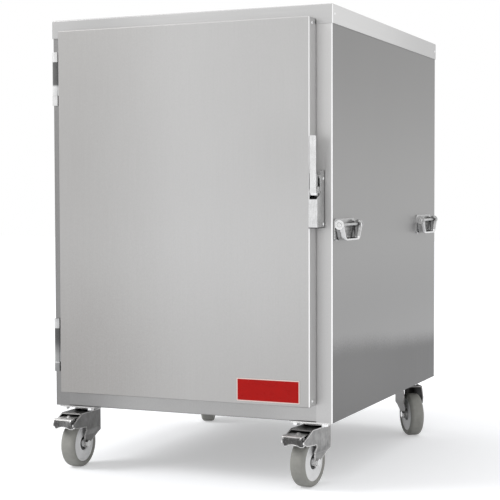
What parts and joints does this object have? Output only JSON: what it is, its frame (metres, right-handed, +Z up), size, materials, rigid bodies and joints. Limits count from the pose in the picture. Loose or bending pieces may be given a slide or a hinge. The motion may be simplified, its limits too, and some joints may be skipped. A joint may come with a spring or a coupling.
{
  "type": "proofing cabinet",
  "caption": "Closed insulated tray cabinet with a hinged door, edge latch, two drop handles on its right side and four swivel casters.",
  "frame": {"origin": "on the floor, under the middle of the overall footprint", "axes": "+Z up, door faces -Y, +X to the right of someone facing the door"},
  "size_m": [0.6536, 0.8124, 0.95],
  "materials": {
    "brushed_steel": "fine grain sheet, satin",
    "liner_steel": "plain mill sheet",
    "bright_steel": "polished",
    "pressed_steel": "pressed stainless, satin",
    "fastener_steel": "satin",
    "tyre": "matt grey rubber",
    "wheel_core": "moulded light grey nylon",
    "label": "glossy plain plate",
    "gasket": "soft moulded seal",
    "foam": "rigid foam board"
  },
  "bodies": {
    "cabinet": {"right_side_panel": "brushed_steel", "left_side_panel": "brushed_steel", "back_panel": "brushed_steel", "bottom_pan": "brushed_steel", "top_cap": "brushed_steel", "cap_rivets": "fastener_steel", "right_liner": "liner_steel", "left_liner": "liner_steel", "floor_liner": "liner_steel", "roof_liner": "liner_steel", "back_liner": "liner_steel", "wall_insulation": "foam", "rack_uprights": "liner_steel", "right_tray_runners": "liner_steel", "left_tray_runners": "liner_steel", "upper_hinge_frame_leaf": "bright_steel", "lower_hinge_frame_leaf": "bright_steel", "hinge_pins": "bright_steel", "latch_strike": "bright_steel", "handle_spindles": "bright_steel", "right_handle_plates": "bright_steel", "caster_top_plates": "pressed_steel", "caster_kingpins": "pressed_steel", "caster_bolts": "pressed_steel", "caster_doublers": "pressed_steel"},
    "door": {"door_outer_skin": "brushed_steel", "door_inner_skin": "liner_steel", "door_insulation": "foam", "door_gasket": "gasket", "label_plate": "label", "door_screws": "fastener_steel", "upper_hinge_door_leaf": "bright_steel", "lower_hinge_door_leaf": "bright_steel", "latch_housing": "bright_steel", "latch_pin": "bright_steel"},
    "latch_lever": {"latch_lever": "bright_steel"},
    "right_front_bail": {"right_front_handle_bail": "bright_steel"},
    "right_rear_bail": {"right_rear_handle_bail": "bright_steel"},
    "front_left_swivel": {"front_left_fork": "pressed_steel", "front_left_axle": "pressed_steel"},
    "front_left_wheel": {"front_left_wheel_core": "wheel_core", "front_left_tyre": "tyre"},
    "front_left_pedal": {"front_left_brake_pedal": "pressed_steel"},
    "front_right_swivel": {"front_right_fork": "pressed_steel", "front_right_axle": "pressed_steel"},
    "front_right_wheel": {"front_right_wheel_core": "wheel_core", "front_right_tyre": "tyre"},
    "front_right_pedal": {"front_right_brake_pedal": "pressed_steel"},
    "rear_left_swivel": {"rear_left_fork": "pressed_steel", "rear_left_axle": "pressed_steel"},
    "rear_left_wheel": {"rear_left_wheel_core": "wheel_core", "rear_left_tyre": "tyre"},
    "rear_right_swivel": {"rear_right_fork": "pressed_steel", "rear_right_axle": "pressed_steel"},
    "rear_right_wheel": {"rear_right_wheel_core": "wheel_core", "rear_right_tyre": "tyre"}
  },
  "joints": [
    {"name": "door_hinge", "type": "hinge", "parent": "cabinet", "child": "door", "pos_m": [-0.29925, -0.37432, 0.5435], "axis": [0, 0, -1], "range_deg": [0, 180]},
    {"name": "latch_pull", "type": "hinge", "parent": "door", "child": "latch_lever", "pos_m": [0.28075, -0.37432, 0.584], "axis": [1, 0, 0], "range_deg": [0, 35], "stiffness_Nm_per_rad": 1, "springref_deg": -9.74},
    {"name": "right_front_bail_lift", "type": "hinge", "parent": "cabinet", "child": "right_front_bail", "pos_m": [0.31725, -0.27832, 0.52], "axis": [0, -1, 0], "range_deg": [0, 90]},
    {"name": "right_rear_bail_lift", "type": "hinge", "parent": "cabinet", "child": "right_rear_bail", "pos_m": [0.31725, 0.29468, 0.52], "axis": [0, -1, 0], "range_deg": [0, 90]},
    {"name": "front_left_swivel_turn", "type": "hinge", "parent": "cabinet", "child": "front_left_swivel", "pos_m": [-0.27425, -0.29482, 0.118], "axis": [0, 0, 1], "continuous": true},
    {"name": "front_left_wheel_spin", "type": "hinge", "parent": "front_left_swivel", "child": "front_left_wheel", "pos_m": [-0.27425, -0.33682, 0.05], "axis": [1, 0, 0], "continuous": true},
    {"name": "front_left_pedal_lift", "type": "hinge", "parent": "front_left_swivel", "child": "front_left_pedal", "pos_m": [-0.27425, -0.35482, 0.104], "axis": [-1, 0, 0], "range_deg": [0, 10]},
    {"name": "front_right_swivel_turn", "type": "hinge", "parent": "cabinet", "child": "front_right_swivel", "pos_m": [0.25575, -0.29482, 0.118], "axis": [0, 0, 1], "continuous": true},
    {"name": "front_right_wheel_spin", "type": "hinge", "parent": "front_right_swivel", "child": "front_right_wheel", "pos_m": [0.25063, -0.33651, 0.05], "axis": [0.9925, -0.1219, 0], "continuous": true},
    {"name": "front_right_pedal_lift", "type": "hinge", "parent": "front_right_swivel", "child": "front_right_pedal", "pos_m": [0.24844, -0.35438, 0.104], "axis": [-0.9925, 0.1219, 0], "range_deg": [0, 10]},
    {"name": "rear_left_swivel_turn", "type": "hinge", "parent": "cabinet", "child": "rear_left_swivel", "pos_m": [-0.27425, 0.32968, 0.118], "axis": [0, 0, 1], "continuous": true},
    {"name": "rear_left_wheel_spin", "type": "hinge", "parent": "rear_left_swivel", "child": "rear_left_wheel", "pos_m": [-0.25988, 0.29021, 0.05], "axis": [0.9397, 0.342, 0], "continuous": true},
    {"name": "rear_right_swivel_turn", "type": "hinge", "parent": "cabinet", "child": "rear_right_swivel", "pos_m": [0.25575, 0.32968, 0.118], "axis": [0, 0, 1], "continuous": true},
    {"name": "rear_right_wheel_spin", "type": "hinge", "parent": "rear_right_swivel", "child": "rear_right_wheel", "pos_m": [0.27984, 0.29527, 0.05], "axis": [0.8192, 0.5736, 0], "continuous": true}
  ]
}
